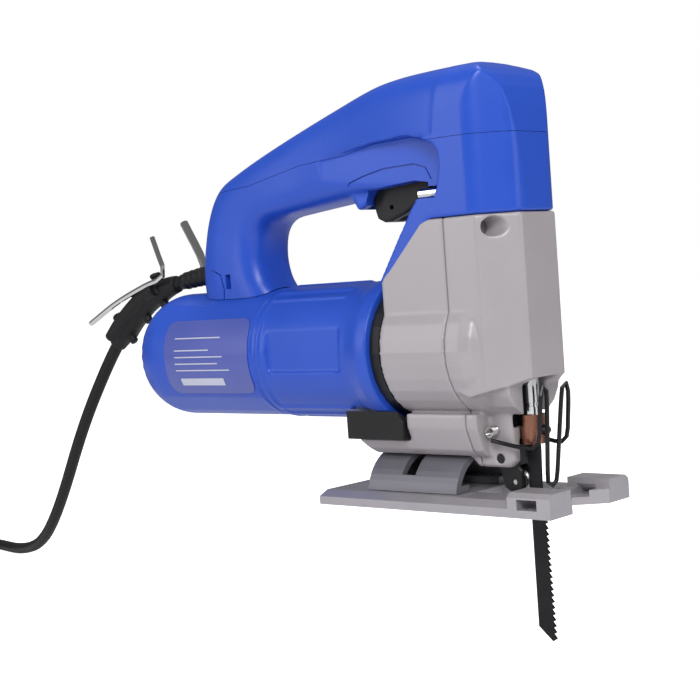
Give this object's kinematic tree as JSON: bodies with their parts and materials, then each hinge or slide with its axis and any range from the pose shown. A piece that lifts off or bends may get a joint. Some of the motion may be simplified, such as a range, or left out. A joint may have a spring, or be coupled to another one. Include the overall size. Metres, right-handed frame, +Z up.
{
  "type": "jigsaw",
  "caption": "Corded jigsaw: hollow D-handle with trigger above a barrel motor, cast gear case, reciprocating blade plunger, guide roller, wire guard and bevelling sole plate.",
  "frame": {"origin": "centre of the sole plate's underside, the face that rests on the work", "axes": "+X forwards, towards the cutting end; +Z up, out of the sole and towards the handle; +Y to the tool's left"},
  "size_m": [0.6255, 0.098, 0.257],
  "materials": {
    "blue_shell": "satin",
    "gear_case_paint": "satin",
    "sole_plate": "satin",
    "bracket_steel": "satin",
    "black_plastic": "matte",
    "black_rubber": "matte",
    "blackened_steel": "satin",
    "steel": "satin",
    "chrome": "polished",
    "copper": "satin",
    "brass": "satin",
    "label_film": "satin"
  },
  "bodies": {
    "housing": {"gear_housing_rear": "gear_case_paint", "gear_housing_front": "gear_case_paint", "case_screw_right": "steel", "case_screw_left": "steel", "baffle_ring": "black_plastic", "bevel_clamp_screw": "steel", "dust_duct": "black_plastic", "motor_housing": "blue_shell", "rear_cap": "blue_shell", "rating_label": "label_film", "handle_lower_shell": "blue_shell", "handle_upper_shell": "blue_shell", "switch_body": "black_plastic", "trigger_pin": "steel", "trigger_spring": "chrome", "front_bearing": "chrome", "rear_bearing": "chrome", "stator_core": "steel", "field_coil_lower": "copper", "field_coil_upper": "copper", "brush_holder_right": "brass", "brush_holder_left": "brass", "gear_shaft": "steel", "plunger_bush_lower": "brass", "plunger_bush_upper": "brass", "plunger_seal": "black_rubber", "fork_pivot_pin": "blackened_steel", "guard_spring_right": "chrome", "guard_spring_left": "chrome", "strain_relief": "black_rubber", "power_cord": "black_rubber", "cord_coil": "black_rubber", "mains_plug": "black_rubber", "cord_tie": "black_rubber", "key_holder": "black_rubber", "hex_key_small": "chrome", "hex_key_large": "chrome"},
    "shoe": {"base_plate": "sole_plate", "tilt_bracket": "bracket_steel", "bracket_screw_1": "steel", "bracket_screw_2": "steel", "bracket_screw_3": "steel", "bracket_screw_4": "steel"},
    "armature": {"armature_shaft": "steel", "armature_core": "copper", "commutator": "copper", "cooling_fan": "black_plastic"},
    "crank": {"drive_gear": "steel", "crank_pin": "chrome"},
    "plunger_set": {"plunger": "chrome", "blade_clamp": "copper", "clamp_set_screw": "blackened_steel", "saw_blade": "blackened_steel"},
    "fork": {"roller_fork": "blackened_steel"},
    "roller": {"guide_roller": "steel"},
    "guard": {"wire_guard": "blackened_steel"},
    "trigger": {"trigger": "black_plastic"},
    "dial": {"speed_dial": "black_plastic"},
    "lock": {"lock_button": "black_plastic"}
  },
  "joints": [
    {"name": "shoe_tilt", "type": "hinge", "parent": "housing", "child": "shoe", "pos_m": [-0.017, 0, 0.003], "axis": [1, 0, 0], "range_deg": [-45, 45]},
    {"name": "armature_spin", "type": "hinge", "parent": "housing", "child": "armature", "pos_m": [-0.1, 0, 0.0705], "axis": [1, 0, 0], "continuous": true},
    {"name": "drive_gear_spin", "type": "hinge", "parent": "housing", "child": "crank", "pos_m": [0.009, 0, 0.08955], "axis": [1, 0, 0], "continuous": true},
    {"name": "plunger_stroke", "type": "slide", "parent": "housing", "child": "plunger_set", "axis": [0, 0, 1], "range_m": [-0.009, 0.009]},
    {"name": "roller_fork_swing", "type": "hinge", "parent": "housing", "child": "fork", "pos_m": [0.0264, 0, 0.0215], "axis": [0, 1, 0], "range_deg": [-0.6, 2.5]},
    {"name": "guide_roller_spin", "type": "hinge", "parent": "fork", "child": "roller", "pos_m": [0.0292, 0, 0.0104], "axis": [0, 1, 0], "continuous": true},
    {"name": "guard_swing", "type": "hinge", "parent": "housing", "child": "guard", "pos_m": [0.025, 0, 0.0338], "axis": [0, 1, 0], "range_deg": [0, 2], "stiffness_Nm_per_rad": 0.5, "springref_deg": -1.15},
    {"name": "trigger_pull", "type": "hinge", "parent": "housing", "child": "trigger", "pos_m": [-0.009, 0, 0.151], "axis": [0, 1, 0], "range_deg": [0, 7], "stiffness_Nm_per_rad": 0.3, "springref_deg": -5.73},
    {"name": "speed_dial_turn", "type": "hinge", "parent": "trigger", "child": "dial", "pos_m": [-0.028, 0, 0.1362], "axis": [0, 1, 0], "range_deg": [-130, 130]},
    {"name": "lock_button_press", "type": "slide", "parent": "housing", "child": "lock", "axis": [0, -1, 0], "range_m": [0, 0.002], "stiffness_N_per_m": 400, "springref_m": -0.001}
  ],
  "couplings": [
    {"joint": "drive_gear_spin", "follows": "armature_spin", "ratio": -0.125}
  ]
}
